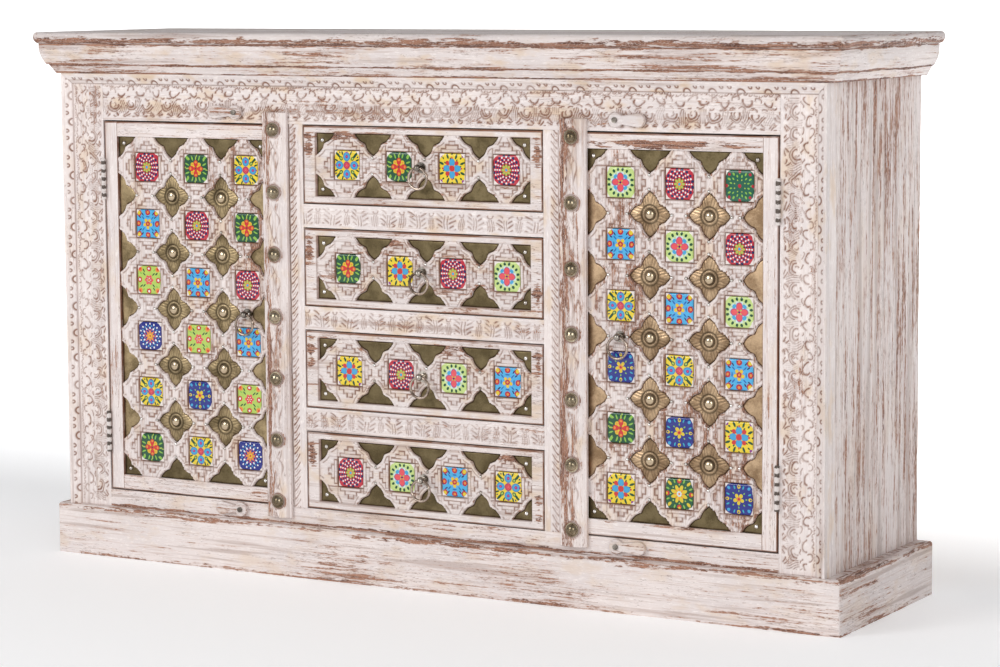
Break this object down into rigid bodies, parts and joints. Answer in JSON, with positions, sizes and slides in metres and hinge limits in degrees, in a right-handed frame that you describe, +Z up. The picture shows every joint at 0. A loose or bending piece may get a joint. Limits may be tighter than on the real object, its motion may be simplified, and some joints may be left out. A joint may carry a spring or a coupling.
{
  "type": "carved sideboard cabinet",
  "caption": "Carved whitewashed sideboard with tiled lattice doors, a middle bank of tiled drawers, ring pulls, turn buttons, moulded cornice and plinth.",
  "frame": {"origin": "on the floor under the middle of the whole cabinet", "axes": "+X along the front from the left door to the right door, +Y from the front to the back, +Z up"},
  "size_m": [1.524, 0.4, 0.914],
  "materials": {
    "whitewashed_wood": "distressed whitewash over reddish-brown wood",
    "bare_wood": "unfinished inside boards",
    "glazed_tile": "hand-painted glossy tiles",
    "aged_brass": "aged sheet brass",
    "studs_brass": "worn polished brass",
    "dark_steel": "darkened steel"
  },
  "bodies": {
    "carcass": {"top_board": "whitewashed_wood", "cornice_front": "whitewashed_wood", "cornice_sides": "whitewashed_wood", "side_panel_left": "whitewashed_wood", "side_panel_right": "whitewashed_wood", "back_panel": "bare_wood", "bottom_board": "bare_wood", "partitions": "bare_wood", "shelves": "bare_wood", "outer_stiles": "whitewashed_wood", "top_rail": "whitewashed_wood", "bottom_rail": "whitewashed_wood", "inner_stiles": "whitewashed_wood", "drawer_rails": "whitewashed_wood", "border_strips": "whitewashed_wood", "plinth_front": "whitewashed_wood", "plinth_ends_and_back": "whitewashed_wood", "drawer_runners": "bare_wood", "frame_hinge_leaves": "dark_steel", "turn_button_screws": "dark_steel"},
    "left_door": {"left_door_frame": "whitewashed_wood", "left_door_panel": "whitewashed_wood", "left_door_tiles": "glazed_tile", "left_door_brass_plates": "aged_brass", "left_door_batten": "whitewashed_wood", "left_door_studs_and_post": "studs_brass", "left_door_hinge_leaves": "dark_steel"},
    "left_door_ring": {"left_door_ring": "dark_steel"},
    "right_door": {"right_door_frame": "whitewashed_wood", "right_door_panel": "whitewashed_wood", "right_door_tiles": "glazed_tile", "right_door_brass_plates": "aged_brass", "right_door_batten": "whitewashed_wood", "right_door_studs_and_post": "studs_brass", "right_door_hinge_leaves": "dark_steel"},
    "right_door_ring": {"right_door_ring": "dark_steel"},
    "drawer_1": {"drawer_1_front": "whitewashed_wood", "drawer_1_tiles": "glazed_tile", "drawer_1_brass_plates": "aged_brass", "drawer_1_box": "bare_wood"},
    "drawer_1_ring": {"drawer_1_ring": "dark_steel"},
    "drawer_2": {"drawer_2_front": "whitewashed_wood", "drawer_2_tiles": "glazed_tile", "drawer_2_brass_plates": "aged_brass", "drawer_2_box": "bare_wood"},
    "drawer_2_ring": {"drawer_2_ring": "dark_steel"},
    "drawer_3": {"drawer_3_front": "whitewashed_wood", "drawer_3_tiles": "glazed_tile", "drawer_3_brass_plates": "aged_brass", "drawer_3_box": "bare_wood"},
    "drawer_3_ring": {"drawer_3_ring": "dark_steel"},
    "drawer_4": {"drawer_4_front": "whitewashed_wood", "drawer_4_tiles": "glazed_tile", "drawer_4_brass_plates": "aged_brass", "drawer_4_box": "bare_wood"},
    "drawer_4_ring": {"drawer_4_ring": "dark_steel"},
    "turn_button_left_top": {"turn_button_left_top": "whitewashed_wood"},
    "turn_button_left_bottom": {"turn_button_left_bottom": "whitewashed_wood"},
    "turn_button_right_top": {"turn_button_right_top": "whitewashed_wood"},
    "turn_button_right_bottom": {"turn_button_right_bottom": "whitewashed_wood"}
  },
  "joints": [
    {"name": "left_door", "type": "hinge", "parent": "carcass", "child": "left_door", "pos_m": [-0.639, -0.1643, 0.4405], "axis": [0, 0, -1], "range_deg": [0, 110]},
    {"name": "right_door", "type": "hinge", "parent": "carcass", "child": "right_door", "pos_m": [0.639, -0.1643, 0.4405], "axis": [0, 0, 1], "range_deg": [0, 110]},
    {"name": "drawer_1", "type": "slide", "parent": "carcass", "child": "drawer_1", "axis": [0, -1, 0], "range_m": [0, 0.26]},
    {"name": "drawer_2", "type": "slide", "parent": "carcass", "child": "drawer_2", "axis": [0, -1, 0], "range_m": [0, 0.26]},
    {"name": "drawer_3", "type": "slide", "parent": "carcass", "child": "drawer_3", "axis": [0, -1, 0], "range_m": [0, 0.26]},
    {"name": "drawer_4", "type": "slide", "parent": "carcass", "child": "drawer_4", "axis": [0, -1, 0], "range_m": [0, 0.26]},
    {"name": "left_door_ring", "type": "hinge", "parent": "left_door", "child": "left_door_ring", "pos_m": [-0.346, -0.169, 0.4405], "axis": [-1, 0, 0], "range_deg": [0, 110]},
    {"name": "right_door_ring", "type": "hinge", "parent": "right_door", "child": "right_door_ring", "pos_m": [0.365, -0.169, 0.4405], "axis": [-1, 0, 0], "range_deg": [0, 110]},
    {"name": "drawer_1_ring", "type": "hinge", "parent": "drawer_1", "child": "drawer_1_ring", "pos_m": [0, -0.169, 0.697], "axis": [-1, 0, 0], "range_deg": [0, 110]},
    {"name": "drawer_2_ring", "type": "hinge", "parent": "drawer_2", "child": "drawer_2_ring", "pos_m": [0, -0.169, 0.526], "axis": [-1, 0, 0], "range_deg": [0, 110]},
    {"name": "drawer_3_ring", "type": "hinge", "parent": "drawer_3", "child": "drawer_3_ring", "pos_m": [0, -0.169, 0.355], "axis": [-1, 0, 0], "range_deg": [0, 110]},
    {"name": "drawer_4_ring", "type": "hinge", "parent": "drawer_4", "child": "drawer_4_ring", "pos_m": [0, -0.169, 0.184], "axis": [-1, 0, 0], "range_deg": [0, 110]},
    {"name": "turn_button_left_top", "type": "hinge", "parent": "carcass", "child": "turn_button_left_top", "pos_m": [-0.361, -0.1644, 0.781], "axis": [0, -1, 0], "range_deg": [0, 135]},
    {"name": "turn_button_left_bottom", "type": "hinge", "parent": "carcass", "child": "turn_button_left_bottom", "pos_m": [-0.361, -0.1644, 0.1055], "axis": [0, 1, 0], "range_deg": [0, 135]},
    {"name": "turn_button_right_top", "type": "hinge", "parent": "carcass", "child": "turn_button_right_top", "pos_m": [0.361, -0.1644, 0.781], "axis": [0, 1, 0], "range_deg": [0, 135]},
    {"name": "turn_button_right_bottom", "type": "hinge", "parent": "carcass", "child": "turn_button_right_bottom", "pos_m": [0.361, -0.1644, 0.1055], "axis": [0, -1, 0], "range_deg": [0, 135]}
  ]
}
